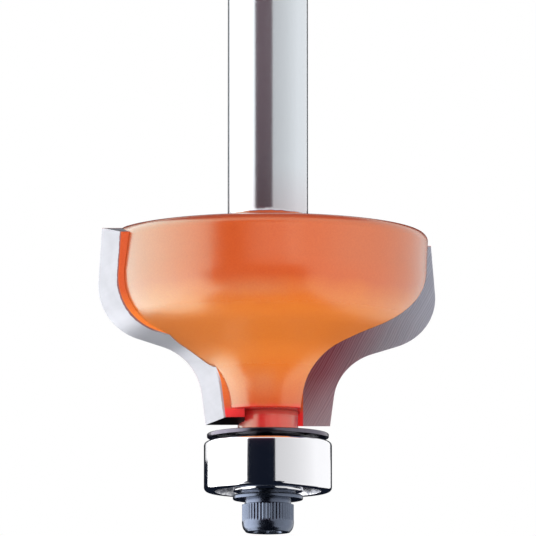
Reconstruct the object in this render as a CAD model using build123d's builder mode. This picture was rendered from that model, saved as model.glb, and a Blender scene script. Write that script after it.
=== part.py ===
from build123d import *

import math
import os

# Ogee router bit: a turned steel cutter with two brazed tips, and a guide bearing on its nose.
# All sizes are in millimetres and degrees. The shank points up and the axis of the bit is Z.
# The origin is on the axis, at the lowest line on the shank where a collet may grip it.
# Heights called "above the edge" are measured up from the plane of the tips' lower ends.

# Shank
shank_diameter = 8.0
shank_length = 32.0
shank_end_chamfer = 0.8
shank_root_fillet = 1.0
collet_gap = 3.0

# Cutting edge, drawn in the plane of a tip's rake face, from its lower end upwards
edge_start = 6.17
edge_lead_length = 3.23
edge_lead_lean = 7.1
edge_cove_radius = 5.6
edge_flank_angle = 18.3
edge_flank_length = 2.67
edge_bead_radius = 5.6
edge_back_lean = 3.9
edge_height = 19.77

# Tips
tip_count = 2
shear_angle = 17.0
rake_setback = 0.55
tip_thickness = 2.35
relief_inward = 0.77
relief_upward = 0.19
tip_foot_inner = 2.3
tip_foot_height = 4.5
tip_head_inner = 10.5
tip_head_height = 13.0

# Body outline, from the bell's lower end to the rim
bell_rise = 1.3
neck_radius = 5.0
neck_lean = 11.5
body_cove_radius = 9.2
body_flank_angle = 28.3
body_flank_length = 3.15
body_bead_radius = 6.83
wall_lean = 1.7
wall_height = 4.15
rim_fillet = 1.1
crown_angle = 7.0
bell_edge_break = 0.25

# Gullets, one in front of each rake face
gullet_root = 3.05
gullet_root_angle = 6.5
gullet_root_fillet = 1.25
gullet_wall_radius = 8.0
gullet_wall_centre_out = 9.01
gullet_wall_centre_back = 1.34
gullet_lip = 2.6

# Nose of the body below the edge, and the bearing's seat on it
post_diameter = 6.0
post_drop = 0.81
slip_clearance = 0.012
stud_chamfer = 0.25
stud_recess = 0.3

# Guide bearing, 3/16 x 1/2 x 0.196 inch, open on both sides
bearing_bore = 4.762
bearing_diameter = 12.7
bearing_width = 4.978
ball_count = 7
ball_share = 0.3
land_share = 0.75
groove_ratio = 1.05
ball_clearance = 0.04
outer_ring_chamfer = 0.4
inner_ring_chamfer = 0.2
land_chamfer = 0.12

# Cage of two pressed halves
cage_sheet = 0.2
cage_width_share = 0.46
cage_ball_clearance = 0.05
rivet_diameter = 0.45
rivet_head_diameter = 0.7
rivet_head_height = 0.15
rivet_clearance = 0.01

# Dust shield above the bearing
shield_step_in = 0.3
shield_thickness = 0.44
shield_hub_diameter = 6.6
shield_hub_height = 0.37
shield_edge_fillet = 0.12

# Retaining washer below the bearing
washer_diameter = 6.96
washer_thickness = 0.45
washer_boss_diameter = 5.6
washer_boss_height = 0.35
washer_edge_break = 0.08

# Cap screw
screw_diameter = 3.0
screw_length = 10.0
screw_clearance = 0.03
screw_collar_diameter = 4.62
screw_collar_height = 0.45
screw_head_diameter = 5.15
screw_head_height = 2.78
screw_face_chamfer = 0.38
screw_shank_chamfer = 0.3
knurl_count = 36
knurl_depth = 0.16
knurl_height = 1.5
socket_across_flats = 2.5
socket_depth = 1.5
tap_reserve = 1.2
drill_point_angle = 59.0

# Radii and heights worked out from the sizes above
shank_radius = shank_diameter / 2
post_radius = post_diameter / 2
stud_radius = bearing_bore / 2 - slip_clearance
pitch_radius = (bearing_bore + bearing_diameter) / 4
ball_radius = ball_share * (bearing_diameter - bearing_bore) / 2
inner_land_radius = pitch_radius - ball_radius * land_share
outer_land_radius = pitch_radius + ball_radius * land_share
groove_radius = ball_radius * groove_ratio
shear = math.radians(shear_angle)

neck_turn = 90 - neck_lean - body_flank_angle
bead_turn = 90 - wall_lean - body_flank_angle
bead_rise = body_bead_radius * (
    math.cos(math.radians(body_flank_angle)) - math.sin(math.radians(wall_lean))
)
cove_run = body_cove_radius * (
    math.cos(math.radians(neck_lean)) - math.sin(math.radians(body_flank_angle))
)
cove_rise = body_cove_radius * (
    math.cos(math.radians(body_flank_angle)) - math.sin(math.radians(neck_lean))
)
flank_run = body_flank_length * math.cos(math.radians(body_flank_angle))
flank_rise = body_flank_length * math.sin(math.radians(body_flank_angle))
bead_run = body_bead_radius * (
    math.cos(math.radians(wall_lean)) - math.sin(math.radians(body_flank_angle))
)
wall_foot_height = bell_rise + cove_rise + flank_rise + bead_rise
wall_foot_radius = neck_radius + cove_run + flank_run + bead_run
rim_height = wall_foot_height + wall_height
rim_radius = wall_foot_radius + wall_height * math.tan(math.radians(wall_lean))
crown_height = rim_height + (rim_radius - shank_radius) * math.tan(math.radians(crown_angle))

edge_z = -(collet_gap + crown_height)
shoulder_z = edge_z - post_drop
shield_z = shoulder_z - shield_thickness
bearing_top_z = shield_z - shield_hub_height
bearing_mid_z = bearing_top_z - bearing_width / 2
bearing_bottom_z = bearing_top_z - bearing_width
stud_end_z = bearing_bottom_z + stud_recess
washer_boss_z = bearing_bottom_z - washer_boss_height
washer_z = washer_boss_z - washer_thickness
screw_collar_z = washer_z - screw_collar_height
screw_face_z = screw_collar_z - screw_head_height
screw_tip_z = washer_z + screw_length

# Planes: the axial section with its zero at the edge, the rake face and the gullet's root
edge_section = Plane(origin=(0, 0, edge_z), x_dir=(1, 0, 0), z_dir=(0, -1, 0))
rake_face = Plane(
    origin=(0, rake_setback, edge_z),
    x_dir=(1, 0, 0),
    z_dir=(0, -math.cos(shear), math.sin(shear)),
)
root_slope = math.radians(gullet_root_angle)
root_face = Plane(
    origin=(gullet_root, 0, edge_z),
    x_dir=(0, 1, 0),
    z_dir=(math.cos(root_slope), 0, -math.sin(root_slope)),
)
bearing_plane = Plane.XY.offset(bearing_mid_z)
ball_spots = PolarLocations(pitch_radius, ball_count)

os.makedirs("parts", exist_ok=True)

# Form of a tip: a flat blank, ground to the edge's outline with its relief running inwards and up
relief_path = Vector(-relief_inward, 1, relief_upward)
relief_reach = 2 * tip_thickness / math.cos(shear)
blank_reach = edge_start + edge_cove_radius + edge_flank_length + edge_bead_radius

with BuildPart() as tip_form:
    with BuildSketch(rake_face):
        Polygon(
            (tip_foot_inner, -edge_lead_length),
            (tip_foot_inner, tip_foot_height),
            (tip_head_inner, tip_head_height),
            (tip_head_inner, edge_height),
            (blank_reach, edge_height),
            (blank_reach, -edge_lead_length),
            align=None,
        )
    extrude(amount=-tip_thickness)
    with BuildSketch(rake_face):
        with BuildLine():
            lead = PolarLine((edge_start, 0), edge_lead_length, 90 - edge_lead_lean)
            cove = JernArc(
                lead @ 1, lead % 1, edge_cove_radius, edge_lead_lean + edge_flank_angle - 90
            )
            flank = PolarLine(cove @ 1, edge_flank_length, edge_flank_angle)
            bead = JernArc(
                flank @ 1, flank % 1, edge_bead_radius, 90 + edge_back_lean - edge_flank_angle
            )
            back = PolarLine(bead @ 1, edge_height, 90 + edge_back_lean)
            Polyline(back @ 1, (0, (back @ 1).Y), (0, 0), (edge_start, 0))
        make_face()
    extrude(amount=relief_reach, dir=relief_path, mode=Mode.INTERSECT)

# Tips, spaced evenly round the axis
for number in range(1, tip_count + 1):
    with BuildPart() as tip:
        add(tip_form.part, rotation=(0, 0, (number - 1) * 360 / tip_count))
    tip.part.label = f"carbide_tip_{number}"
    export_step(tip.part, f"parts/carbide_tip_{number}.step")

# Space that a gullet cuts: a curved near wall, a root that leans out, and the rake face
gullet_top = crown_height + collet_gap
gullet_out = rim_radius + rim_fillet
gullet_back = rake_setback + gullet_top * math.tan(shear) + gullet_root_fillet
lip_drop = gullet_wall_centre_back + gullet_lip
lip_angle = math.degrees(math.asin(lip_drop / gullet_wall_radius))

with BuildPart() as gullet:
    with BuildSketch(Plane.XY.offset(shoulder_z)):
        with BuildLine():
            near_wall = CenterArc(
                (gullet_wall_centre_out, gullet_wall_centre_back),
                gullet_wall_radius,
                start_angle=180,
                arc_size=180 - lip_angle,
            )
            Polyline(
                near_wall @ 1,
                (gullet_out, -gullet_lip),
                (gullet_out, gullet_back),
                ((near_wall @ 0).X, gullet_back),
                near_wall @ 0,
            )
        make_face()
    extrude(amount=gullet_top + post_drop)
    split(bisect_by=rake_face, keep=Keep.TOP)
    split(bisect_by=root_face, keep=Keep.TOP)
    wall_edge = gullet.faces().sort_by(Axis.X)[0].edges().filter_by(GeomType.ELLIPSE)
    fillet(wall_edge, gullet_root_fillet)

# Body: shank, head, post and stud turned from one bar, then the gullets and tip seats milled
with BuildPart() as cutter_body:
    with BuildSketch(edge_section) as outline:
        with BuildLine():
            stud_foot = stud_end_z - edge_z
            stud = Polyline(
                (0, stud_foot),
                (stud_radius - stud_chamfer, stud_foot),
                (stud_radius, stud_foot + stud_chamfer),
                (stud_radius, -post_drop),
                (post_radius, -post_drop),
                (post_radius, bell_rise),
                (neck_radius, bell_rise),
            )
            cove = JernArc(
                stud @ 1,
                (math.sin(math.radians(neck_lean)), math.cos(math.radians(neck_lean))),
                body_cove_radius,
                -neck_turn,
            )
            flank = PolarLine(cove @ 1, body_flank_length, body_flank_angle)
            bead = JernArc(flank @ 1, flank % 1, body_bead_radius, bead_turn)
            shank_end = crown_height + shank_length
            Polyline(
                bead @ 1,
                (rim_radius, rim_height),
                (shank_radius, crown_height),
                (shank_radius, shank_end - shank_end_chamfer),
                (shank_radius - shank_end_chamfer, shank_end),
                (0, shank_end),
                (0, stud_foot),
            )
        make_face()
        corners = outline.vertices()
        fillet(corners.sort_by_distance((rim_radius, rim_height))[0], rim_fillet)
        corners = outline.vertices()
        fillet(corners.sort_by_distance((shank_radius, crown_height))[0], shank_root_fillet)
        corners = outline.vertices()
        fillet(corners.sort_by_distance((neck_radius, bell_rise))[0], bell_edge_break)
    revolve(axis=Axis.Z)
    with PolarLocations(0, tip_count):
        add(gullet.part, mode=Mode.SUBTRACT)
        add(tip_form.part, mode=Mode.SUBTRACT)
    hole_radius = screw_diameter / 2 + screw_clearance
    hole_top = screw_tip_z - edge_z + tap_reserve
    point_height = hole_radius / math.tan(math.radians(drill_point_angle))
    with BuildSketch(edge_section):
        Polygon(
            (0, stud_foot),
            (hole_radius + stud_chamfer, stud_foot),
            (hole_radius, stud_foot + stud_chamfer),
            (hole_radius, hole_top),
            (0, hole_top + point_height),
            align=None,
        )
    revolve(axis=Axis.Z, mode=Mode.SUBTRACT)
cutter_body.part.label = "cutter_body"
export_step(cutter_body.part, "parts/cutter_body.step")

# Dust shield: a thin disc with a hub that stands on the inner ring
with BuildPart() as dust_shield:
    with BuildSketch(Plane.XY.offset(shield_z)):
        Circle(bearing_diameter / 2 - shield_step_in)
    extrude(amount=shield_thickness)
    rims = dust_shield.edges().filter_by(GeomType.CIRCLE).group_by(SortBy.RADIUS)[-1]
    fillet(rims, shield_edge_fillet)
    with BuildSketch(Plane.XY.offset(bearing_top_z)):
        Circle(shield_hub_diameter / 2)
    extrude(amount=shield_hub_height)
    with BuildSketch(Plane.XY.offset(bearing_top_z)):
        Circle(stud_radius + slip_clearance)
    extrude(amount=shield_hub_height + shield_thickness, mode=Mode.SUBTRACT)
dust_shield.part.label = "dust_shield"
export_step(dust_shield.part, "parts/dust_shield.step")

# Bearing rings: both grooves are a little wider than the balls
outer_groove_x = pitch_radius + ball_radius + ball_clearance - groove_radius
inner_groove_x = pitch_radius - ball_radius - ball_clearance + groove_radius
half_width = bearing_width / 2
bearing_section = Plane(origin=(0, 0, bearing_mid_z), x_dir=(1, 0, 0), z_dir=(0, -1, 0))

with BuildPart() as outer_ring:
    with BuildSketch(bearing_section):
        with Locations(((outer_land_radius + bearing_diameter / 2) / 2, 0)):
            Rectangle(bearing_diameter / 2 - outer_land_radius, bearing_width)
        with Locations((outer_groove_x, 0)):
            Circle(groove_radius, mode=Mode.SUBTRACT)
    revolve(axis=Axis.Z)
    ring_edges = outer_ring.edges().filter_by(GeomType.CIRCLE)
    chamfer(ring_edges.group_by(SortBy.RADIUS)[-1], outer_ring_chamfer)
    end_faces = outer_ring.faces().filter_by(Axis.Z)
    chamfer(end_faces.edges().group_by(SortBy.RADIUS)[0], land_chamfer)
outer_ring.part.label = "bearing_outer_ring"
export_step(outer_ring.part, "parts/bearing_outer_ring.step")

with BuildPart() as inner_ring:
    with BuildSketch(bearing_section):
        with Locations(((inner_land_radius + bearing_bore / 2) / 2, 0)):
            Rectangle(inner_land_radius - bearing_bore / 2, bearing_width)
        with Locations((inner_groove_x, 0)):
            Circle(groove_radius, mode=Mode.SUBTRACT)
    revolve(axis=Axis.Z)
    end_faces = inner_ring.faces().filter_by(Axis.Z)
    chamfer(end_faces.edges().group_by(SortBy.RADIUS)[-1], land_chamfer)
    end_faces = inner_ring.faces().filter_by(Axis.Z)
    chamfer(end_faces.edges().group_by(SortBy.RADIUS)[0], inner_ring_chamfer)
inner_ring.part.label = "bearing_inner_ring"
export_step(inner_ring.part, "parts/bearing_inner_ring.step")

# Lower half of the cage: a flat ribbon pressed into a cup round each ball
cup_radius = ball_radius + cage_ball_clearance
cage_reach = ball_radius * cage_width_share
rivet_turn = 180 / ball_count

with BuildPart(bearing_plane) as cage_lower:
    with PolarLocations(pitch_radius, ball_count):
        Sphere(cup_radius + cage_sheet)
    split(bisect_by=bearing_plane, keep=Keep.BOTTOM)
    with BuildSketch(bearing_plane):
        Circle(pitch_radius + cage_reach)
    extrude(amount=-cage_sheet)
    with BuildSketch(bearing_plane):
        Circle(pitch_radius + cage_reach)
        Circle(pitch_radius - cage_reach, mode=Mode.SUBTRACT)
    extrude(amount=-half_width, mode=Mode.INTERSECT)
    with PolarLocations(pitch_radius, ball_count):
        Sphere(cup_radius, mode=Mode.SUBTRACT)
    with BuildSketch(bearing_plane):
        with PolarLocations(pitch_radius, ball_count, start_angle=rivet_turn):
            Circle(rivet_diameter / 2 + rivet_clearance)
    extrude(amount=-cage_sheet, mode=Mode.SUBTRACT)
cage_lower.part.label = "cage_lower"
export_step(cage_lower.part, "parts/cage_lower.step")

# Upper half, the same pressing turned over
with BuildPart() as cage_upper:
    add(mirror(cage_lower.part, about=bearing_plane, mode=Mode.PRIVATE))
cage_upper.part.label = "cage_upper"
export_step(cage_upper.part, "parts/cage_upper.step")

# Rivets that hold the two halves together between the balls
with BuildPart() as cage_rivets:
    with BuildSketch(bearing_plane):
        with PolarLocations(pitch_radius, ball_count, start_angle=rivet_turn):
            Circle(rivet_diameter / 2)
    extrude(amount=cage_sheet, both=True)
    for side in (1, -1):
        with BuildSketch(bearing_plane.offset(side * cage_sheet)):
            with PolarLocations(pitch_radius, ball_count, start_angle=rivet_turn):
                Circle(rivet_head_diameter / 2)
        extrude(amount=side * rivet_head_height)
cage_rivets.part.label = "cage_rivets"
export_step(cage_rivets.part, "parts/cage_rivets.step")

# Balls, each a piece of its own
for number, spot in enumerate(ball_spots.locations, start=1):
    with BuildPart(bearing_plane) as ball:
        with Locations(spot):
            Sphere(ball_radius)
    ball.part.label = f"bearing_ball_{number}"
    export_step(ball.part, f"parts/bearing_ball_{number}.step")

# Retaining washer: its boss clamps the inner ring and its flange covers the land
with BuildPart() as retaining_washer:
    with BuildSketch(Plane.XY.offset(washer_z)):
        Circle(washer_diameter / 2)
    extrude(amount=washer_thickness)
    rims = retaining_washer.edges().filter_by(GeomType.CIRCLE).group_by(SortBy.RADIUS)[-1]
    chamfer(rims, washer_edge_break)
    with BuildSketch(Plane.XY.offset(washer_boss_z)):
        Circle(washer_boss_diameter / 2)
    extrude(amount=washer_boss_height)
    with BuildSketch(Plane.XY.offset(washer_z)):
        Circle(screw_diameter / 2 + screw_clearance)
    extrude(amount=washer_thickness + washer_boss_height, mode=Mode.SUBTRACT)
retaining_washer.part.label = "retaining_washer"
export_step(retaining_washer.part, "parts/retaining_washer.step")

# Cap screw: threaded shank, plain collar, knurled head and hexagon socket
head_radius = screw_head_diameter / 2
knurl_low_z = screw_collar_z - knurl_height

with BuildPart() as cap_screw:
    with BuildSketch(Plane.XY.offset(screw_face_z)):
        Circle(head_radius)
    extrude(amount=screw_head_height)
    chamfer(cap_screw.edges().filter_by(GeomType.CIRCLE).sort_by(Axis.Z)[0], screw_face_chamfer)
    with BuildSketch(Plane.XY.offset(knurl_low_z)):
        with PolarLocations(head_radius, knurl_count):
            Rectangle(knurl_depth * math.sqrt(2), knurl_depth * math.sqrt(2), rotation=45)
    extrude(amount=knurl_height, mode=Mode.SUBTRACT)
    with BuildSketch(Plane.XY.offset(screw_collar_z)):
        Circle(screw_collar_diameter / 2)
    extrude(amount=screw_collar_height)
    with BuildSketch(Plane.XY.offset(washer_z)):
        Circle(screw_diameter / 2)
    extrude(amount=screw_length)
    chamfer(cap_screw.edges().filter_by(GeomType.CIRCLE).sort_by(Axis.Z)[-1], screw_shank_chamfer)
    with BuildSketch(Plane.XY.offset(screw_face_z)):
        RegularPolygon(socket_across_flats / 2, 6, major_radius=False)
    extrude(amount=socket_depth, mode=Mode.SUBTRACT)
cap_screw.part.label = "cap_screw"
export_step(cap_screw.part, "parts/cap_screw.step")
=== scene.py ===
"""Looks of a bearing-guided ogee router bit, laid out as an add-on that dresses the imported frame."""

import math

import bmesh
import bpy
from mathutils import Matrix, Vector


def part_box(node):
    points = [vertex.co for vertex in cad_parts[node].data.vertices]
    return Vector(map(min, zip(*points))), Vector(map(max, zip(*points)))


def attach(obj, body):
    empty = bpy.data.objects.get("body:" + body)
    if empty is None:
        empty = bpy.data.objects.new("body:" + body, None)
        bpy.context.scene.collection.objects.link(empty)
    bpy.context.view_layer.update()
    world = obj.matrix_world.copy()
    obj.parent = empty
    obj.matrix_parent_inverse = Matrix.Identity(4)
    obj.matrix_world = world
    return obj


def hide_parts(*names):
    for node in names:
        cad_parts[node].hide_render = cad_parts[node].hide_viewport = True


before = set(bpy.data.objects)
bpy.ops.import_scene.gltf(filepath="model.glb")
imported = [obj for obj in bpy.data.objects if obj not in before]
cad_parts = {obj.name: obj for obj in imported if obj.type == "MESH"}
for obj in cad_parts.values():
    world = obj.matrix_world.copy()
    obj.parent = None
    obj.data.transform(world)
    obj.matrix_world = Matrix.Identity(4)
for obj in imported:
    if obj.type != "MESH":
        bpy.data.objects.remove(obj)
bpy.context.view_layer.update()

bl_info = {
    "name": "Bearing-guided router bit",
    "version": (1, 0, 0),
    "blender": (4, 5, 0),
    "location": "View3D > Sidebar > Router Bit",
    "description": "Finishes, turned pieces and a small studio for an ogee router bit",
    "category": "Object",
}

MM = 0.001


def span(node):
    """Lowest and highest height of a CAD node, in millimetres."""
    low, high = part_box(node)
    return low.z / MM, high.z / MM


def outer_radius(node):
    """Largest radius of a turned CAD node about the bit's axis, in millimetres."""
    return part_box(node)[1].x / MM


EDGE_HEIGHT = span("carbide_tip_1")[0]
RING_LOW, RING_HIGH = span("bearing_outer_ring")
SHIELD_LOW, SHIELD_HIGH = span("dust_shield")
WASHER_LOW, WASHER_HIGH = span("retaining_washer")
SCREW_LOW, SCREW_HIGH = span("cap_screw")
RAKE_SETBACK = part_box("carbide_tip_1")[0].y / MM
BALL_NEAR, BALL_FAR = (corner.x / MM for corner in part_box("bearing_ball_1"))
BALL_RADIUS, PITCH_RADIUS = (BALL_FAR - BALL_NEAR) / 2, (BALL_FAR + BALL_NEAR) / 2

# The CAD's values that the frame's boxes don't show, with lengths in millimetres
SHEAR = math.radians(17.0)
BEARING_BORE_RADIUS = 2.381
BALL_GAP = 0.04
STEM_RADIUS = 1.5

# Points of a turned piece closer than this are one, in metres
MERGE = 1e-7


def colour_property(name, description, default):
    """A colour for the panel."""
    return bpy.props.FloatVectorProperty(
        name=name, description=description, subtype="COLOR", default=default, min=0.0, max=1.0
    )


def gloss_property(name, description, default):
    """A roughness for the panel."""
    return bpy.props.FloatProperty(name=name, description=description, default=default, min=0.02, max=1.0)


def length_property(name, description, millimetres, least=0.0):
    """A length for the panel, with its default and its least value given in millimetres."""
    return bpy.props.FloatProperty(
        name=name, description=description, default=millimetres * MM, unit="LENGTH", min=least * MM
    )


class FinishSizes(bpy.types.PropertyGroup):
    """Colours and gloss of the bit's finishes."""

    coat_upper: colour_property("Coat on the belly", "Red-orange of the upper part", (0.68, 0.090, 0.011))
    # The slope's yellower orange is partly painted light.
    coat_lower_lit: colour_property(
        "Coat under the belly", "Yellower orange of the slope and the neck", (0.86, 0.20, 0.014)
    )
    # The nose's deep red is painted shade under the bell, not a colour of its own.
    coat_nose_shade: colour_property("Coat on the nose", "Deep red of the post", (0.88, 0.020, 0.022))
    coat_line: bpy.props.FloatProperty(
        name="Coat line",
        description="Height above the edge at which the coat gives way to bare ground steel, in mm",
        default=21.0,
        min=15.0,
        max=30.0,
    )
    steel: colour_property("Ground steel", "Bare ground steel of the shank", (0.66, 0.70, 0.74))
    bearing: colour_property("Bearing steel", "Polished steel of the guide bearing", (0.88, 0.88, 0.91))
    carbide: colour_property("Ground carbide", "Grey of the ground tungsten carbide", (0.35, 0.355, 0.385))
    blued: colour_property("Blued steel", "Dark oxide on the screw and the washer", (0.125, 0.148, 0.200))
    shield: colour_property("Shield steel", "Grey oxide on the dust shield", (0.13, 0.12, 0.15))
    shank_roughness: gloss_property("Shank roughness", "Gloss of the ground shank", 0.16)
    coat_roughness: gloss_property("Coat roughness", "Gloss of the lacquer-like coat", 0.24)


class TurnedSizes(bpy.types.PropertyGroup):
    """Small radii of the turned pieces and the screw's cut details."""

    steps: bpy.props.IntProperty(
        name="Steps round", description="Flats round a turned piece", default=192, min=48, max=384
    )
    ring_radius: length_property("Ring corner radius", "Radius on the outer corners of the bearing", 0.42)
    shield_radius: length_property("Shield rim radius", "Radius on the rim of the dust shield", 0.13)
    thread_pitch: length_property("Thread pitch", "Lead of the screw's thread", 0.5, least=0.1)
    thread_depth: length_property("Thread depth", "Depth of the thread's groove", 0.27)
    knurl_depth: length_property("Knurl depth", "Depth of the grooves between the ribs", 0.085)
    knurl_count: bpy.props.IntProperty(
        name="Knurl ribs", description="Straight ribs round the screw's head", default=46, min=12, max=80
    )
    rivet_count: bpy.props.IntProperty(
        name="Cage rivets", description="Rivets between the bearing's balls", default=7, min=3, max=16
    )


class StudioSizes(bpy.types.PropertyGroup):
    """Camera, cards and lamps."""

    distance: length_property("Camera distance", "From the aim point to the lens", 740.0)
    elevation: bpy.props.FloatProperty(
        name="Camera elevation",
        description="Below zero the camera looks up at the bit",
        default=math.radians(-7.85),
        unit="ROTATION",
    )
    aim_height: length_property(
        "Aim above the edge", "Height above the edge that the picture is centred on", 15.79
    )
    lens: bpy.props.FloatProperty(
        name="Lens",
        description="Focal length for a 36 mm sensor, in mm",
        default=499.5,
        subtype="DISTANCE_CAMERA",
    )
    floor_drop: length_property("Floor below the screw", "How far the floor lies below the bit", 160.0)
    ambient: bpy.props.FloatProperty(
        name="Ambient light", description="Strength of the light from all round", default=0.18, min=0.0
    )
    softbox: bpy.props.FloatProperty(
        name="Soft box", description="How bright the left soft box shows in gloss", default=3.1, min=0.0
    )


def feed(tree, slot, value):
    """Links a slot to a value's socket, or sets it to a plain value."""
    source = value.socket if isinstance(value, Value) else value
    if isinstance(source, bpy.types.NodeSocket):
        tree.links.new(source, slot)
    else:
        slot.default_value = source


def add_node(tree, kind, settings=None, inputs=None):
    """A node of a tree: its settings come first, then the values or links of its slots."""
    made = tree.nodes.new(kind)
    for key, value in (settings or {}).items():
        if key == "stops":
            ramp = made.color_ramp
            while len(ramp.elements) > 1:
                ramp.elements.remove(ramp.elements[-1])
            for number, (place, colour) in enumerate(value):
                stop = ramp.elements[0] if number == 0 else ramp.elements.new(place)
                stop.position = place
                stop.color = (*colour[:3], 1.0)
        else:
            setattr(made, key, value)
    for key, value in (inputs or {}).items():
        feed(tree, made.inputs[key], value)
    return made


class Value:
    """A number socket of a node tree, so that sums on it read as Python."""

    def __init__(self, tree, socket):
        self.tree, self.socket = tree, socket

    def math(self, operation, *others, clamp=False):
        return self.worked_out(operation, (self, *others), clamp)

    def worked_out(self, operation, parts, clamp=False):
        """One Math node on its parts, in their order."""
        settings = {"operation": operation, "use_clamp": clamp}
        node = add_node(self.tree, "ShaderNodeMath", settings, dict(enumerate(parts)))
        return Value(self.tree, node.outputs[0])

    def __add__(self, other):
        return self.math("ADD", other)

    __radd__ = __add__

    def __sub__(self, other):
        return self.math("SUBTRACT", other)

    def __rsub__(self, other):
        return self.worked_out("SUBTRACT", (other, self))

    def __mul__(self, other):
        return self.math("MULTIPLY", other)

    __rmul__ = __mul__

    def __truediv__(self, other):
        return self.math("DIVIDE", other)

    def __rtruediv__(self, other):
        return self.worked_out("DIVIDE", (other, self))

    def __pow__(self, other):
        return self.math("POWER", other)

    def __abs__(self):
        return self.math("ABSOLUTE")

    def largest(self, other):
        return self.math("MAXIMUM", other)

    def sine(self):
        return self.math("SINE")

    def above(self, edge, soft=0.02):
        """0 below edge, 1 above it, with a soft step of that half width."""
        return ((self - edge) / (2 * soft) + 0.5).math("ADD", 0.0, clamp=True)

    def below(self, edge, soft=0.02):
        return 1 - self.above(edge, soft)


class Finish:
    """One node-based material, built from a Principled shader."""

    def __init__(self, name):
        self.material = bpy.data.materials.new(name)
        self.material.use_nodes = True
        self.tree = self.material.node_tree
        self.tree.nodes.clear()
        self.shader = self.node("ShaderNodeBsdfPrincipled")
        self.output = self.node("ShaderNodeOutputMaterial")
        self.show(self.shader)
        place = self.node("ShaderNodeTexCoord").outputs["Object"]
        in_mm = self.node("ShaderNodeVectorMath", {"operation": "SCALE"}, {0: place, "Scale": 1 / MM})
        self.point = in_mm.outputs[0]
        split = self.node("ShaderNodeSeparateXYZ", inputs={0: self.point})
        self.x, self.y, self.z = (Value(self.tree, split.outputs[i]) for i in range(3))
        self.radius = (self.x * self.x + self.y * self.y) ** 0.5
        self.height = self.z - EDGE_HEIGHT

    def node(self, kind, settings=None, inputs=None):
        return add_node(self.tree, kind, settings, inputs)

    def value(self, kind, output):
        """A number that a node without inputs gives, such as a light path's."""
        return Value(self.tree, self.node(kind).outputs[output])

    def show(self, shader):
        """Makes a shader node the material's surface."""
        self.tree.links.new(shader.outputs[0], self.output.inputs["Surface"])

    def blend(self, factor, first, second):
        """A Mix Shader node between two shader nodes."""
        inputs = {0: factor, 1: first.outputs[0], 2: second.outputs[0]}
        return self.node("ShaderNodeMixShader", inputs=inputs)

    def facing(self):
        """How far the face points up: 1 upwards, -1 downwards."""
        way = self.node("ShaderNodeTexCoord").outputs["Normal"]
        return Value(self.tree, self.node("ShaderNodeSeparateXYZ", inputs={0: way}).outputs[2])

    def noise(self, scale, detail=2.0, roughness=0.5, vector=None):
        """Noise over the piece, about 0.5, at scale features per millimetre."""
        inputs = {"Vector": vector or self.point, "Scale": scale, "Detail": detail, "Roughness": roughness}
        return Value(self.tree, self.node("ShaderNodeTexNoise", inputs=inputs).outputs["Fac"])

    def lines(self, along, scale, detail=3.0, roughness=0.6):
        """Noise that changes only with one number, for grinding and turning marks."""
        joined = self.node("ShaderNodeCombineXYZ", inputs={0: along}).outputs[0]
        return self.noise(scale, detail, roughness, joined)

    def mix(self, factor, first, second, blend="MIX"):
        """Colours mixed by a factor; either may be a socket or a plain colour."""
        made = self.node("ShaderNodeMix", {"data_type": "RGBA", "blend_type": blend, "clamp_factor": True})
        feed(self.tree, made.inputs[0], factor)
        for slot, colour in ((made.inputs[6], first), (made.inputs[7], second)):
            from_node = isinstance(colour, bpy.types.NodeSocket)
            feed(self.tree, slot, colour if from_node else (*colour[:3], 1.0))
        return made.outputs[2]

    def ramp(self, value, stops):
        return self.node("ShaderNodeValToRGB", {"stops": stops}, {0: value}).outputs[0]

    def bump(self, height, distance, normal=None):
        """A bump of that distance in millimetres, on top of a normal if there is one."""
        inputs = {"Height": height, "Distance": distance * MM, "Strength": 1.0}
        if normal is not None:
            inputs["Normal"] = normal
        return self.node("ShaderNodeBump", inputs=inputs).outputs[0]

    def rounded(self, radius, samples):
        """A normal that rounds edges by a radius in millimetres."""
        return self.node("ShaderNodeBevel", {"samples": samples}, {"Radius": radius * MM}).outputs[0]

    def set(self, **values):
        """Socket values or links of the Principled shader, by name with _ for a space."""
        for key, value in values.items():
            feed(self.tree, self.shader.inputs[key.replace("_", " ")], value)


def wear(obj, material):
    """Gives a piece its finish."""
    obj.data.materials.clear()
    obj.data.materials.append(material)


def shade(colour, factor):
    """A colour made darker or lighter."""
    return tuple(part * factor for part in colour)


def coat_colour(f, sizes):
    """The coat's colour over its height: red nose, red-orange bell, yellower slope, red-orange belly."""
    top, low, nose = (tuple(c) for c in (sizes.coat_upper, sizes.coat_lower_lit, sizes.coat_nose_shade))
    middle = tuple((a + b) / 2 for a, b in zip(top, low))
    drift = f.height + (f.noise(0.25) - 0.5) * 1.6
    reach = 25.0
    # Painted shade: the lowest stops give the nose under the bell its deep red.
    stops = [(0.0, nose), (0.05, nose), (0.07, top), (0.15, middle)]
    # Partly painted light: the slope and neck stops take the yellower, brighter orange.
    stops += [(0.24, low), (0.40, low), (0.52, top), (1.0, top)]
    mottle = [(0.3, (0.40, 0.38, 0.38)), (0.7, (0.60, 0.62, 0.62))]
    coat = f.ramp(drift / reach, stops)
    return f.mix(0.5, coat, f.ramp(f.noise(6.0, 3.0), mottle), "SOFT_LIGHT")


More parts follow.
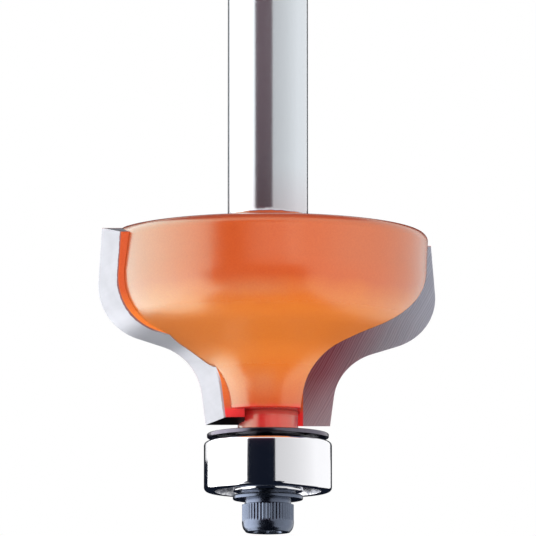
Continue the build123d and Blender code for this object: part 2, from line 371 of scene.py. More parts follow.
def coated_steel(sizes):
    """Orange lacquer-like coat on the body, bare ground steel on the shank, stud and hole."""
    f = Finish("orange_coat_and_ground_steel")
    post_foot, post_top, slope_foot, slope_top, hole_top, head_top = -0.79, 1.32, 5.8, 10.2, 12.0, 19.0
    hole_radius, post_radius, edge_radius = 1.75, 3.1, 0.16

    ragged = (f.noise(1.3) - 0.5) * 0.22
    shank = f.height.above(sizes.coat_line + ragged, 0.06)
    stud = f.height.below(post_foot, 0.01)
    hole = f.radius.below(hole_radius, 0.02) * f.height.below(hole_top)
    bare = shank.largest(stud).largest(hole)

    marks = f.lines(f.z + (f.noise(0.4) - 0.5) * 0.2, 9.0)
    steel = f.mix(marks * 0.35, sizes.steel, shade(sizes.steel, 0.86))
    # Painted reflection: the shank turns maroon just above the coat line, standing in for the red coat
    # mirrored in it.
    coat_reflection = f.height.below(sizes.coat_line + 2.5, 2.2) * 0.3
    steel = f.mix(coat_reflection, steel, (0.50, 0.36, 0.37))

    grain = f.noise(14.0, 3.0)
    slope = f.height.above(slope_foot, 0.8) * f.height.below(slope_top, 0.8)
    crown = f.height.above(head_top, 0.3)
    # Painted shade under the bell: the post's top band is mixed to deep red, made rougher and left without
    # coat gloss.
    bell_shade = f.height.above(0.85, 0.1) * f.height.below(post_top, 0.02) * f.radius.below(post_radius, 0.05)
    relief = bare * (marks * 0.35) + (1 - bare) * (grain * 0.25 + f.noise(0.9) * 0.8 + 1.6)
    surface = f.bump(relief, 0.012, f.rounded(edge_radius, 6))
    f.set(
        Base_Color=f.mix(bell_shade * 0.6, coat_colour(f, sizes), (0.80, 0.010, 0.012)),
        Roughness=sizes.coat_roughness + (grain - 0.5) * 0.08 + slope * 0.14 + bell_shade * 0.25,
        Normal=surface,
        IOR=2.0,
        Specular_Tint=(0.34, 0.92, 0.65, 1.0),
        Coat_Weight=(1 - slope - bell_shade - crown * 0.6) * 0.7,
        Coat_Roughness=0.24,
        Coat_IOR=1.5,
    )
    roughness = sizes.shank_roughness + (marks - 0.5) * 0.12
    ground = f.node(
        "ShaderNodeBsdfPrincipled",
        inputs={"Base Color": steel, "Metallic": 0.9, "Roughness": roughness, "Normal": surface},
    )
    f.show(f.blend(bare, f.shader, ground))
    return f.material


def ground_carbide(sizes):
    """Ground carbide: lined rake face, satin relief, dark seam, and coat on the back, top and by the post."""
    f = Finish("ground_carbide")
    thickness, tip_top, seam_depth, hatch_pitch = 2.44, 18.86, 2.29, 0.21
    lean_out, lean_up = 0.883, 0.469

    side = f.x.math("SIGN")
    out, across = f.x * side, f.y * side
    depth = across - RAKE_SETBACK - f.height * math.tan(SHEAR)
    rake = depth.below(0.03, 0.01)
    back = depth.above(thickness, 0.012)
    # Painted shade: faces that point down near the foot are painted near black.
    under = f.facing().below(-0.9, 0.03) * f.height.below(1.5, 0.1)
    top = f.height.above(tip_top, 0.02)

    over = out * lean_out - f.height * lean_up + (f.noise(0.25) - 0.5) * 0.5
    passes = ((over + f.lines(over, 1.5) * 0.5) * (math.tau / hatch_pitch)).sine() * 0.5 + 0.5
    scratches = (passes * 0.45 + f.lines(over, 4.0, 2.0, 0.6) * 0.55).above(0.5, 0.22)
    lined = f.mix(scratches, (0.30, 0.31, 0.37), (0.42, 0.435, 0.50))
    # Painted reflection: low in the cove the lined rake face turns maroon, standing in for the orange body
    # mirrored in it.
    body_reflection = f.mix(scratches, (0.26, 0.060, 0.105), (0.42, 0.155, 0.225))
    blush = f.height.below(4.0, 4.0) * 0.45
    lined = f.mix(blush, lined, (0.52, 0.38, 0.43))
    # Where the painted reflection of the body reaches: low on the rake and near its inner edge.
    reflection_reach = (1 - out.above(7.6 + (f.height - 5.0) * 0.45, 2.4)) * f.height.above(2.0, 3.4)
    rake_colour = f.mix(reflection_reach * 0.85, lined, body_reflection)

    light = sizes.carbide
    streaks = f.lines(f.height * 0.9 + out * 0.4, 2.0, 3.0).above(0.5, 0.3)
    ground = f.mix(f.noise(0.6, 3.0), shade(light, 0.93), shade(light, 1.3))
    ground = f.mix(streaks * 0.25, ground, shade(light, 0.75))
    # Painted highlight: the relief is lightened between 6.6 and 9.8 mm above the edge.
    shoulder_highlight = f.height.above(6.6, 0.6) * f.height.below(9.8, 1.2)
    ground = f.mix(shoulder_highlight * 0.7, ground, shade(light, 2.2))
    colour = f.mix(rake, ground, rake_colour)

    seam_edge = seam_depth - f.height.below(12.0, 3.0) * 0.09 + (f.noise(2.6, 3.0) - 0.5) * 0.22
    seam = f.height.above(8.6, 0.3).largest(f.height.below(4.4, 0.6) * 0.6)
    seam = seam * depth.above(seam_edge, 0.02) * 0.9
    colour = f.mix(seam, colour, (0.20, 0.022, 0.010))
    # Painted shade on the downward faces near the foot.
    colour = f.mix(under, colour, (0.008, 0.008, 0.012))
    coated = back.largest(rake * out.below(3.5, 0.05)).largest(top * 0.85)
    fine = f.noise(9.0, 3.0)
    f.set(
        Base_Color=f.mix(coated, colour, coat_colour(f, sizes)),
        Metallic=(1 - (coated * 0.9).largest(seam)) * (0.5 + rake * 0.1) + under * 0.3,
        Roughness=0.36 + (fine - 0.5) * 0.1 + rake * 0.06 + under * 0.1 + seam * 0.25,
        Normal=f.bump(rake * scratches + fine * 0.15, 0.012),
    )
    return f.material


def bearing_steel(sizes):
    """Polished steel with faint grinding lines round it, duller round the balls and darkened there by mottled
    painted shade.
    """
    f = Finish("polished_bearing_steel")
    marks = f.lines(f.z, 14.0)
    smudge = f.noise(0.5, 3.0)
    within = f.radius.above(PITCH_RADIUS - 0.85, 0.05) * f.radius.below(PITCH_RADIUS + 1.25, 0.02)
    # Painted shade in the gap between the rings, mottled and darker round the balls.
    gap_shade = within * (f.noise(2.6, 3.0).above(0.5, 0.15) * 0.65 + 0.25)
    polished = f.mix(smudge * 0.3, sizes.bearing, shade(sizes.bearing, 0.9))
    f.set(
        Base_Color=f.mix(gap_shade, polished, (0.16, 0.17, 0.20)),
        Metallic=1.0,
        Roughness=0.05 + marks * 0.04 + smudge * 0.03 + gap_shade * 0.15,
        Normal=f.bump(marks, 0.0006),
    )
    return f.material


def oxide_steel(name, tone, roughness):
    """Dark oxide finish, a little uneven in tone, with turning marks round and along the axis."""
    f = Finish(name)
    rings, turned_marks = f.lines(f.radius, 12.0), f.lines(f.z, 12.0)
    patch = f.noise(2.2, 4.0, 0.6)
    f.set(
        Base_Color=f.mix(patch, shade(tone, 0.8), shade(tone, 1.25)),
        Metallic=1.0,
        Roughness=roughness + patch * 0.10 + rings * 0.04,
        Normal=f.bump(turned_marks + rings, 0.0015, f.rounded(0.05, 4)),
    )
    return f.material


def cage_steel():
    """Soft pressed sheet with a satin surface."""
    f = Finish("pressed_cage_steel")
    grain = f.noise(5.0, 4.0)
    f.set(
        Base_Color=f.mix(grain, (0.26, 0.25, 0.24), (0.46, 0.44, 0.42)),
        Metallic=1.0,
        Roughness=0.3 + grain * 0.15,
        Normal=f.bump(grain, 0.004),
    )
    return f.material


def linked(name, data):
    """A new object of that data, in the scene."""
    piece = bpy.data.objects.new(name, data)
    bpy.context.scene.collection.objects.link(piece)
    return piece


def arc(centre, radius, start, end, steps=6):
    """Points (radius, height) along an arc, angles in degrees from outwards towards up."""
    points = []
    for i in range(steps + 1):
        turn = math.radians(start + (end - start) * i / steps)
        points.append((centre[0] + radius * math.cos(turn), centre[1] + radius * math.sin(turn)))
    return points


def crisp(mesh, sharp):
    """Shades a mesh smooth but keeps edges sharper than an angle, in degrees, crisp."""
    work = bmesh.new()
    work.from_mesh(mesh)
    for face in work.faces:
        face.smooth = True
    for edge in work.edges:
        edge.smooth = edge.calc_face_angle(0) <= math.radians(sharp)
    work.to_mesh(mesh)
    work.free()


def turned(name, profile, steps, sharp=28.0):
    """A ring or disc turned about the axis from a closed profile of (radius, height) in millimetres."""
    mesh = bpy.data.meshes.new(name)
    work = bmesh.new()
    columns = []
    for step in range(steps):
        turn = 2 * math.pi * step / steps
        x, y = math.cos(turn) * MM, math.sin(turn) * MM
        columns.append([work.verts.new((r * x, r * y, z * MM)) for r, z in profile])
    count = len(profile)
    for step in range(steps):
        here, there = columns[step], columns[(step + 1) % steps]
        for i in range(count):
            j = (i + 1) % count
            work.faces.new((here[i], here[j], there[j], there[i]))
    bmesh.ops.remove_doubles(work, verts=work.verts, dist=MERGE)
    bmesh.ops.recalc_face_normals(work, faces=work.faces)
    work.to_mesh(mesh)
    work.free()
    crisp(mesh, sharp)
    return linked(name, mesh)


def new_tree(name, sizes):
    """A Geometry Nodes tree with named number inputs, and the identifiers of those inputs."""
    tree = bpy.data.node_groups.new(name, "GeometryNodeTree")
    tree.interface.new_socket("Geometry", in_out="INPUT", socket_type="NodeSocketGeometry")
    tree.interface.new_socket("Geometry", in_out="OUTPUT", socket_type="NodeSocketGeometry")
    names = {}
    for label, kind, default in sizes:
        socket = tree.interface.new_socket(label, in_out="INPUT", socket_type=kind)
        if default is not None:
            socket.default_value = default
        names[label] = socket.identifier
    return tree, names


def grow(name, base, tree, values, identifiers):
    """Runs a tree on a base object and keeps the outcome as a plain mesh piece."""
    modifier = base.modifiers.new(name, "NODES")
    modifier.node_group = tree
    for label, value in values.items():
        modifier[identifiers[label]] = value
    bpy.context.view_layer.update()
    graph = bpy.context.evaluated_depsgraph_get()
    mesh = bpy.data.meshes.new_from_object(base.evaluated_get(graph))
    mesh.name = name
    base.modifiers.remove(modifier)
    bpy.data.objects.remove(base)
    return linked(name, mesh)


def empty_base(name):
    """An object with an empty mesh, for a tree that makes all of its own geometry."""
    return linked(name, bpy.data.meshes.new(name))


class RouterBitFinishes:
    """Finishes made once and shared by the operators."""

    made = {}
    makers = {
        "coat": coated_steel,
        "carbide": ground_carbide,
        "bearing": bearing_steel,
        "blued": lambda sizes: oxide_steel("blued_steel", sizes.blued, 0.18),
        "shield": lambda sizes: oxide_steel("grey_oxide_steel", sizes.shield, 0.14),
        "cage": lambda sizes: cage_steel(),
    }

    @classmethod
    def get(cls, name, context):
        if name not in cls.made:
            cls.made[name] = cls.makers[name](context.scene.bit_finishes)
        return cls.made[name]


class BIT_OT_body(bpy.types.Operator):
    """Coat the turned body and leave its shank, stud and hole bare"""

    bl_idname = "bit.body"
    bl_label = "Coated body"

    def execute(self, context):
        wear(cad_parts["cutter_body"], RouterBitFinishes.get("coat", context))
        return {"FINISHED"}


class BIT_OT_tips(bpy.types.Operator):
    """Finish both brazed carbide tips"""

    bl_idname = "bit.tips"
    bl_label = "Carbide tips"

    def execute(self, context):
        for number in (1, 2):
            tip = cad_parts[f"carbide_tip_{number}"]
            wear(tip, RouterBitFinishes.get("carbide", context))
        return {"FINISHED"}


class BIT_OT_bearing(bpy.types.Operator):
    """Turn the two rings of the guide bearing, and finish its balls"""

    bl_idname = "bit.bearing"
    bl_label = "Guide bearing"

    def execute(self, context):
        sizes = context.scene.bit_turned
        steel = RouterBitFinishes.get("bearing", context)
        middle = (RING_LOW + RING_HIGH) / 2
        half = (RING_HIGH - RING_LOW) / 2
        outside, inner_land = outer_radius("bearing_outer_ring"), outer_radius("bearing_inner_ring")
        corner, land_corner, bore_corner = sizes.ring_radius / MM, 0.12, 0.2
        groove = BALL_RADIUS * 1.05

        land = 2 * PITCH_RADIUS - inner_land
        bite = PITCH_RADIUS + BALL_RADIUS + BALL_GAP - groove
        open_angle = math.degrees(math.acos((land - bite) / groove))
        profile = arc((outside - corner, half - corner), corner, 0, 90)
        profile += arc((land + land_corner, half - land_corner), land_corner, 90, 180, 3)
        profile += arc((bite, 0), groove, open_angle, -open_angle, 20)
        profile += arc((land + land_corner, land_corner - half), land_corner, 180, 270, 3)
        profile += arc((outside - corner, corner - half), corner, 270, 360)
        ring = turned("outer_ring_turned", [(r, z + middle) for r, z in profile], sizes.steps)
        wear(ring, steel)
        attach(ring, "outer_ring")
        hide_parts("bearing_outer_ring")

        land, bore = inner_land, BEARING_BORE_RADIUS
        bite = PITCH_RADIUS - BALL_RADIUS - BALL_GAP + groove
        open_angle = math.degrees(math.acos((bite - land) / groove))
        profile = arc((land - land_corner, half - land_corner), land_corner, 90, 0, 3)
        profile += arc((bite, 0), groove, 180 - open_angle, 180 + open_angle, 20)
        profile += arc((land - land_corner, land_corner - half), land_corner, 0, -90, 3)
        profile += arc((bore + bore_corner, bore_corner - half), bore_corner, 270, 180, 3)
        profile += arc((bore + bore_corner, half - bore_corner), bore_corner, 180, 90, 3)
        ring = turned("inner_ring_turned", [(r, z + middle) for r, z in profile], sizes.steps)
        wear(ring, steel)
        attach(ring, "cutter")
        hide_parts("bearing_inner_ring")

        for number in range(1, 8):
            wear(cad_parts[f"bearing_ball_{number}"], steel)
        return {"FINISHED"}


def domed_rivets_tree():
    """A tree that sets a ring of rivets, each with a flat dome above and below the cage's sheet."""
    tree, names = new_tree(
        "cage_rivets",
        [
            ("Count", "NodeSocketInt", 7),
            ("Circle radius", "NodeSocketFloat", 0.0044),
            ("Height", "NodeSocketFloat", 0.0),
            ("Grip", "NodeSocketFloat", 0.0004),
            ("Head radius", "NodeSocketFloat", 0.00035),
            ("Material", "NodeSocketMaterial", None),
        ],
    )
    come = add_node(tree, "NodeGroupInput").outputs
    leave = add_node(tree, "NodeGroupOutput").inputs

    def along_z(length):
        return add_node(tree, "ShaderNodeCombineXYZ", None, {2: length}).outputs[0]

    circle = {"Vertices": come["Count"], "Radius": come["Circle radius"]}
    circle = add_node(tree, "GeometryNodeMeshCircle", None, circle)
    half_turn = add_node(tree, "ShaderNodeMath", {"operation": "DIVIDE"}, {0: math.pi, 1: come["Count"]})
    placing = {
        "Geometry": circle.outputs[0],
        "Rotation": along_z(half_turn.outputs[0]),
        "Translation": along_z(come["Height"]),
    }
    ring = add_node(tree, "GeometryNodeTransform", None, placing)

    head = {"Segments": 20, "Rings": 10, "Radius": come["Head radius"]}
    head = add_node(tree, "GeometryNodeMeshUVSphere", None, head)
    rivet = add_node(tree, "GeometryNodeJoinGeometry")
    flat = (1.0, 1.0, 0.42)
    for half in (0.5, -0.5):
        lift = along_z(Value(tree, come["Grip"]) * half)
        placing = {"Geometry": head.outputs[0], "Scale": flat, "Translation": lift}
        dome = add_node(tree, "GeometryNodeTransform", None, placing)
        tree.links.new(dome.outputs[0], rivet.inputs[0])

    spread = {"Points": ring.outputs[0], "Instance": rivet.outputs[0]}
    spread = add_node(tree, "GeometryNodeInstanceOnPoints", None, spread)
    real = add_node(tree, "GeometryNodeRealizeInstances", None, {0: spread.outputs[0]})
    smooth = add_node(tree, "GeometryNodeSetShadeSmooth", None, {0: real.outputs[0]})
    finish = {0: smooth.outputs[0], "Material": come["Material"]}
    finish = add_node(tree, "GeometryNodeSetMaterial", None, finish)
    tree.links.new(finish.outputs[0], leave[0])
    return tree, names


class BIT_OT_cage(bpy.types.Operator):
    """Finish the pressed cage and set domed rivets through it"""

    bl_idname = "bit.cage"
    bl_label = "Ball cage"

    def execute(self, context):
        satin = RouterBitFinishes.get("cage", context)
        for node in ("cage_upper", "cage_lower"):
            wear(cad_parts[node], satin)
        tree, names = domed_rivets_tree()
        values = {
            "Count": context.scene.bit_turned.rivet_count,
            "Circle radius": PITCH_RADIUS * MM,
            "Height": (RING_LOW + RING_HIGH) / 2 * MM,
            "Grip": 0.4 * MM,
            "Head radius": 0.35 * MM,
            "Material": satin,
        }
        rivets = grow("domed_rivets", empty_base("rivet_base"), tree, values, names)
        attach(rivets, "cage")
        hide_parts("cage_rivets")
        return {"FINISHED"}


def disc_rim(outside, low, high, radius, steps):
    """The rounded rim of a disc, from its upper to its lower face."""
    rim = arc((outside - radius, high - radius), radius, 90, 0, steps)
    return rim + arc((outside - radius, low + radius), radius, 0, -90, steps)


class BIT_OT_shield(bpy.types.Operator):
    """Turn the dust shield with its rounded rim and its hub"""

    bl_idname = "bit.shield"
    bl_label = "Dust shield"

    def execute(self, context):
        sizes = context.scene.bit_turned
        thickness, hub, bore = 0.44, 3.3, BEARING_BORE_RADIUS
        plate_low = SHIELD_HIGH - thickness
        rim = sizes.shield_radius / MM
        profile = disc_rim(outer_radius("dust_shield"), plate_low, SHIELD_HIGH, rim, 5)
        profile += [(hub + 0.1, plate_low), (hub, plate_low - 0.08), (hub, SHIELD_LOW + 0.04)]
        profile += [(hub - 0.04, SHIELD_LOW), (bore, SHIELD_LOW), (bore, SHIELD_HIGH)]
        shield = turned("dust_shield_turned", profile, sizes.steps)
        wear(shield, RouterBitFinishes.get("shield", context))
        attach(shield, "cutter")
        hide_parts("dust_shield")
        return {"FINISHED"}


class BIT_OT_washer(bpy.types.Operator):
    """Turn the stepped retaining washer"""

    bl_idname = "bit.washer"
    bl_label = "Retaining washer"

    def execute(self, context):
        sizes = context.scene.bit_turned
        thickness, boss, bore, rim, chamfer = 0.45, 2.8, 1.53, 0.1, 0.05
        step = WASHER_LOW + thickness
        profile = disc_rim(outer_radius("retaining_washer"), WASHER_LOW, step, rim, 4)
        profile += [(bore + 0.1, WASHER_LOW), (bore, WASHER_LOW + 0.1), (bore, WASHER_HIGH)]
        profile += [(boss - chamfer, WASHER_HIGH), (boss, WASHER_HIGH - chamfer), (boss, step)]
        washer = turned("washer_turned", profile, sizes.steps)
        wear(washer, RouterBitFinishes.get("blued", context))
        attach(washer, "cutter")
        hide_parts("retaining_washer")
        return {"FINISHED"}


def cut_by_rule():
    """A tree that cuts ribs, a thread and a hexagon socket into a turned screw, by angle and height."""
    tree, names = new_tree(
        "cut_by_rule",
        [
            ("Ribs", "NodeSocketInt", 46),
            ("Rib depth", "NodeSocketFloat", 0.085),
            ("Ribs from", "NodeSocketFloat", 0.0),
            ("Ribs to", "NodeSocketFloat", 1.0),
            ("Head radius", "NodeSocketFloat", 2.5),
            ("Thread pitch", "NodeSocketFloat", 0.5),
            ("Thread depth", "NodeSocketFloat", 0.27),
            ("Thread from", "NodeSocketFloat", 0.0),
            ("Stem radius", "NodeSocketFloat", STEM_RADIUS),
            ("Socket radius", "NodeSocketFloat", 1.25),
            ("Socket to", "NodeSocketFloat", 0.0),
            ("Material", "NodeSocketMaterial", None),
        ],
    )
    come = add_node(tree, "NodeGroupInput").outputs
    leave = add_node(tree, "NodeGroupOutput").inputs
    held = {label: Value(tree, come[label]) for label in names if label != "Material"}
    place = add_node(tree, "GeometryNodeInputPosition")
    split = add_node(tree, "ShaderNodeSeparateXYZ", None, {0: place.outputs[0]})
    x, y, z = (Value(tree, split.outputs[i]) / MM for i in range(3))
    radius = (x * x + y * y) ** 0.5
    angle = y.math("ARCTAN2", x)
    near = 0.02

    def outside(edge):
        return radius.above(edge - near, 0.01)

    wave = 0.5 - (angle * held["Ribs"]).sine() * 0.5
    ribs = wave * held["Rib depth"] * z.above(held["Ribs from"], 0.12) * z.below(held["Ribs to"])
    ribs = ribs * outside(held["Head radius"])

    turn = (z / held["Thread pitch"] - angle / math.tau).math("FRACT")
    groove = (1 - abs(turn - 0.5) * 2.4).largest(0.0)
    thread = groove * held["Thread depth"] * z.above(held["Thread from"], 0.2)
    thread = thread * outside(held["Stem radius"])

    sixth = math.tau / 6
    sector = (angle + sixth / 2).math("FLOORED_MODULO", sixth) - sixth / 2
    in_socket = radius.below(held["Socket radius"] + near, 0.01) * outside(held["Socket radius"])
    hexagon = (1 / sector.math("COSINE") - 1) * in_socket * z.below(held["Socket to"] + near, 0.01)

    scale = (radius - ribs - thread) / radius.largest(0.001) * (1 + hexagon)
    moved = add_node(tree, "ShaderNodeCombineXYZ", None, {0: x * scale * MM, 1: y * scale * MM, 2: z * MM})
    cut = {0: come["Geometry"], "Position": moved.outputs[0]}
    cut = add_node(tree, "GeometryNodeSetPosition", None, cut)
    finish = {0: cut.outputs[0], "Material": come["Material"]}
    finish = add_node(tree, "GeometryNodeSetMaterial", None, finish)
    tree.links.new(finish.outputs[0], leave[0])
    return tree, names


def evenly(start, end, pitch):
    """Heights from start to end, both included, in steps no longer than pitch."""
    count = max(1, math.ceil(abs(end - start) / pitch))
    return [start + (end - start) * i / count for i in range(count + 1)]


class BIT_OT_screw(bpy.types.Operator):
    """Turn the cap screw and cut its knurled ribs, thread and hexagon socket"""

    bl_idname = "bit.screw"
    bl_label = "Cap screw"

    def execute(self, context):
        sizes = context.scene.bit_turned
        head, collar, collar_height = outer_radius("cap_screw"), 2.31, 0.45
        socket, socket_depth, ribs_height, tip = 1.25, 1.5, 1.68, 0.3
        taper, taper_height, taper_steps, bevel = 0.17, 1.0, 6, 0.22
        pitch = sizes.thread_pitch / MM
        under_head, socket_top = WASHER_LOW - collar_height, SCREW_LOW + socket_depth
        ribs_low, ribs_high = under_head - ribs_height, under_head - 0.1
        foot, foot_high = head - taper, SCREW_LOW + bevel

        profile = [(0, socket_top + 0.35), (socket, socket_top)]
        profile += [(socket, SCREW_LOW + 0.25), (socket * 1.17 + 0.1, SCREW_LOW)]
        profile += [(foot - bevel, SCREW_LOW), (foot - 0.08, foot_high - 0.05)]
        profile += [(foot - 0.02, foot_high + 0.03)]
        for i in range(1, taper_steps):
            share = i / taper_steps
            profile.append((head - taper * (1 - share) ** 2, foot_high + (taper_height - bevel) * share))
        profile += [(head, z) for z in evenly(ribs_low - 0.2, ribs_high + 0.04, 0.05)]
        profile += [(head - 0.16, under_head), (collar, under_head)]
        profile += [(collar, WASHER_LOW), (STEM_RADIUS, WASHER_LOW)]
        profile += [(STEM_RADIUS, z) for z in evenly(WASHER_LOW + 1.0, SCREW_HIGH - tip, pitch / 6)]
        profile += [(STEM_RADIUS - tip, SCREW_HIGH), (0, SCREW_HIGH)]
        base = turned("cap_screw_base", profile, sizes.knurl_count * 6)

        tree, names = cut_by_rule()
        values = {
            "Ribs": sizes.knurl_count,
            "Rib depth": sizes.knurl_depth / MM,
            "Ribs from": ribs_low,
            "Ribs to": ribs_high,
            "Head radius": head,
            "Thread pitch": pitch,
            "Thread depth": sizes.thread_depth / MM,
            "Thread from": WASHER_LOW + 1.4,
            "Stem radius": STEM_RADIUS,
            "Socket radius": socket,
            "Socket to": socket_top,
            "Material": RouterBitFinishes.get("blued", context),
        }
        screw = grow("knurled_cap_screw", base, tree, values, names)
        crisp(screw.data, 35.0)
        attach(screw, "cutter")
        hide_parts("cap_screw")
        return {"FINISHED"}


VELVET = 0.018
DARK_BLUE, DARK_RED, WHITE = (0.35, 0.5, 1, 1), (1, 0.35, 0.55, 1), (1, 1, 1, 1)


def card(name, points, faces, levels, fade=None, tone=DARK_BLUE):
    """A card that only gloss sees: a dark flag, or with fade given a white box that brightens along Y."""
    mesh = bpy.data.meshes.new(name)
    mesh.from_pydata([Vector(point) for point in points], [], faces)
    piece = linked(name, mesh)
    f = Finish(name)
    colour, strength = tone, levels
    if fade:
        near, far = (edge / MM for edge in fade)
        rise = f.y.above((near + far) / 2, (far - near) / 2)
        colour, strength = rise * (levels[1] - levels[0]) + levels[0], 1.0
    f.show(f.node("ShaderNodeEmission", inputs={"Color": colour, "Strength": strength}))
    mesh.materials.append(f.material)
    piece.visible_camera = False
    piece.visible_diffuse = False
    piece.visible_transmission = False
    piece.visible_shadow = False
    return piece


def curved_card(name, azimuths, distance, heights, levels, fade=None, tone=DARK_BLUE):
    """An upright card bent round the bit, azimuth 0 at the camera and 90 on the right."""
    steps = 12
    start, end = azimuths
    points, faces = [], []
    for i in range(steps + 1):
        turn = math.radians(start + (end - start) * i / steps)
        points += [(distance * math.sin(turn), -distance * math.cos(turn), z) for z in heights]
    for i in range(steps):
        faces.append((2 * i, 2 * i + 2, 2 * i + 3, 2 * i + 1))
    return card(name, points, faces, levels, fade, tone)


def flat_card(name, corners, height, levels, fade=None):
    """A level card with its corners given from above."""
    return card(name, [(x, y, height) for x, y in corners], [tuple(range(len(corners)))], levels, fade)


def lamp(name, place, size, power, aim=(0, 0, -0.008)):
    """A soft area lamp that lights the bit but doesn't show in its gloss."""
    data = bpy.data.lights.new(name, "AREA")
    data.shape = "SQUARE"
    data.size = size
    data.energy = power
    piece = linked(name, data)
    piece.location = place
    piece.rotation_mode = "QUATERNION"
    piece.rotation_quaternion = (Vector(aim) - Vector(place)).to_track_quat("-Z", "Y")
    piece.visible_camera = False
    piece.visible_glossy = False
    return piece


def pale_floor(height):
    """A wide floor, white in gloss, pale from above and clear from below, that takes the bit's shadow."""
    reach = 4.0
    corners = [(-reach, -reach), (reach, -reach), (reach, reach), (-reach, reach)]
    mesh = bpy.data.meshes.new("floor")
    mesh.from_pydata([(x, y, height) for x, y in corners], [], [(0, 1, 2, 3)])
    floor = linked("floor", mesh)
    f = Finish("pale_floor")
    f.set(Base_Color=(0.86, 0.86, 0.86, 1.0), Roughness=0.9)
    glow = f.node("ShaderNodeEmission", inputs={"Color": WHITE, "Strength": 1.0})
    light_path = "ShaderNodeLightPath"
    in_gloss = f.value(light_path, "Is Glossy Ray").largest(f.value(light_path, "Is Transmission Ray"))
    glowing = in_gloss.largest(f.value(light_path, "Is Camera Ray") * 0.75)
    lit = f.blend(glowing, f.shader, glow)
    clear = f.node("ShaderNodeBsdfTransparent")
    f.show(f.blend(f.value("ShaderNodeNewGeometry", "Backfacing"), lit, clear))
    mesh.materials.append(f.material)


def soft_tent(scene, ambient):
    """A world that looks white, also in gloss, but lights the bit only dimly from all round."""
    world = bpy.data.worlds.new("soft_tent")
    scene.world = world
    world.use_nodes = True
    tree = world.node_tree
    tree.nodes.clear()
    path = add_node(tree, "ShaderNodeLightPath").outputs
    seen = Value(tree, path["Is Camera Ray"])
    for ray in ("Is Glossy Ray", "Is Transmission Ray"):
        seen = seen.largest(Value(tree, path[ray]))
    strength = ambient + seen * (1.0 - ambient)
    sky = add_node(tree, "ShaderNodeBackground", None, {"Color": WHITE, "Strength": strength})
    add_node(tree, "ShaderNodeOutputWorld", None, {0: sky.outputs[0]})


def soft_boxes(low, brightness):
    """White cards: a soft box on the left, a piece of it on the floor, and a dimmer card on the right."""
    dim, left, top = 1.25, -0.19, 0.27
    front, back = -0.28, 0.20
    corners = [(left, front, low), (left, back, low), (left, back, top), (left, front, top)]
    card("soft_box", corners, [(0, 1, 2, 3)], (dim, brightness), fade=(-0.26, -0.02))
    corners = [(-0.125, -0.21), (-0.125, -0.04), (-0.095, 0.0), (-0.088, 0.04), (-0.125, 0.085)]
    corners += [(left, 0.14), (left, -0.25)]
    flat_card("low_soft_box", corners, low, (dim, brightness * 0.8), fade=(-0.20, 0.0))
    curved_card("right_card", (13, 150), 0.215, (low, 0.12), (0.74, 1.1), fade=(-0.20, 0.02))


def dark_flags(low):
    """Dark cards: upright ones in front and behind, one on the floor and a grey one overhead."""
    near, far = 0.21, 0.40
    curved_card("front_flag", (-37, 13), near, (-0.04, 0.028), VELVET)
    curved_card("red_front_flag", (-37, 13), near, (0.028, 0.12), 0.1, tone=DARK_RED)
    curved_card("middle_front_flag", (-40, 24), near, (-0.07, -0.04), VELVET)
    curved_card("low_front_flag", (-46, 30), near, (low, -0.07), VELVET)
    curved_card("rear_flag", (-132, -205), far, (low, 0.02), VELVET)
    curved_card("upper_rear_flag", (-153, -207), far, (0.02, 0.30), VELVET)
    wedge = [(-0.12, -0.21), (0.10, -0.21), (0.105, 0.06), (0.13, 0.18), (0.23, 0.46), (-0.34, 0.46)]
    wedge += [(-0.18, 0.14), (-0.12, 0.088), (-0.084, 0.042), (-0.09, 0.0), (-0.12, -0.042)]
    flat_card("floor_flag", wedge, low, VELVET)
    size, behind, corners = 0.2, 0.05, 32
    turns = [math.tau * i / corners for i in range(corners)]
    disc = [(size * math.cos(turn), behind + size * math.sin(turn)) for turn in turns]
    flat_card("top_flag", disc, 0.28, 0.2)


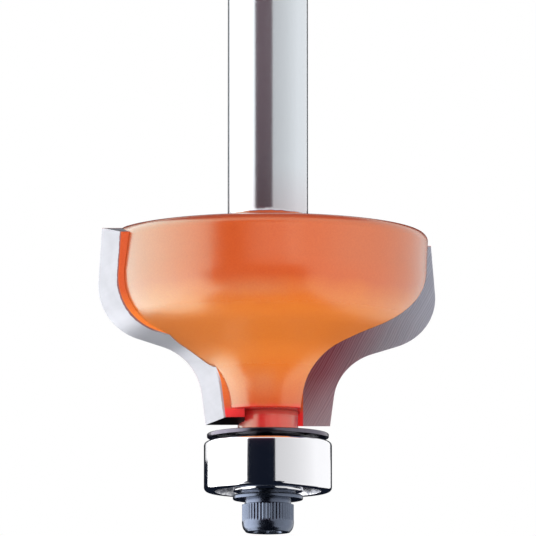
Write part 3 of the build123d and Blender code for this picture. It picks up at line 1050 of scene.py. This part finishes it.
class BIT_OT_studio(bpy.types.Operator):
    """Build the pale floor, soft light, cards and the camera"""

    bl_idname = "bit.studio"
    bl_label = "Studio"

    def execute(self, context):
        sizes = context.scene.bit_studio
        scene = context.scene
        floor_height = SCREW_LOW * MM - sizes.floor_drop
        just_above_floor = floor_height + 0.004
        pale_floor(floor_height)
        soft_tent(scene, sizes.ambient)
        soft_boxes(just_above_floor, sizes.softbox)
        dark_flags(just_above_floor)

        lamp("front_lamp", (0.02, -0.54, 0.06), 0.30, 1.65)
        lamp("top_lamp", (0.10, -0.10, 0.50), 0.30, 0.3)
        lamp("right_lamp", (0.45, -0.25, 0.05), 0.30, 0.45)
        lamp("rear_lamp", (-0.06, 0.54, 0.10), 0.30, 1.1)
        lamp("low_lamp", (-0.02, -0.11, -0.205), 0.16, 0.42)

        camera = bpy.data.cameras.new("camera")
        camera.lens = sizes.lens
        camera.sensor_width = 36.0
        camera.clip_start, camera.clip_end = 0.01, 20.0
        eye = linked("camera", camera)
        look = Vector((0, math.cos(sizes.elevation), -math.sin(sizes.elevation)))
        aim = Vector((0.01 * MM, 0, EDGE_HEIGHT * MM + sizes.aim_height))
        eye.location = aim - look * sizes.distance
        eye.rotation_mode = "QUATERNION"
        eye.rotation_quaternion = look.to_track_quat("-Z", "Y")
        scene.camera = eye
        scene.view_settings.view_transform = "Standard"
        return {"FINISHED"}


class BIT_PT_panel(bpy.types.Panel):
    """Lists the bit's sizes and the steps that dress it"""

    bl_label = "Router Bit"
    bl_idname = "BIT_PT_panel"
    bl_space_type = "VIEW_3D"
    bl_region_type = "UI"
    bl_category = "Router Bit"

    def draw(self, context):
        for group in ("bit_finishes", "bit_turned", "bit_studio"):
            held = getattr(context.scene, group)
            box = self.layout.box()
            for name in held.bl_rna.properties.keys():
                if name not in ("rna_type", "name"):
                    box.prop(held, name)
        for operator in OPERATORS:
            self.layout.operator(operator.bl_idname)


GROUPS = {"bit_finishes": FinishSizes, "bit_turned": TurnedSizes, "bit_studio": StudioSizes}
OPERATORS = (
    BIT_OT_body,
    BIT_OT_tips,
    BIT_OT_bearing,
    BIT_OT_cage,
    BIT_OT_shield,
    BIT_OT_washer,
    BIT_OT_screw,
    BIT_OT_studio,
)


def register():
    for name, group in GROUPS.items():
        bpy.utils.register_class(group)
        setattr(bpy.types.Scene, name, bpy.props.PointerProperty(type=group))
    for operator in OPERATORS:
        bpy.utils.register_class(operator)
    bpy.utils.register_class(BIT_PT_panel)


def unregister():
    bpy.utils.unregister_class(BIT_PT_panel)
    for operator in reversed(OPERATORS):
        bpy.utils.unregister_class(operator)
    for name, group in GROUPS.items():
        delattr(bpy.types.Scene, name)
        bpy.utils.unregister_class(group)


def main():
    register()
    bpy.ops.bit.body()
    bpy.ops.bit.tips()
    bpy.ops.bit.bearing()
    bpy.ops.bit.cage()
    bpy.ops.bit.shield()
    bpy.ops.bit.washer()
    bpy.ops.bit.screw()
    bpy.ops.bit.studio()


if __name__ == "__main__":
    main()
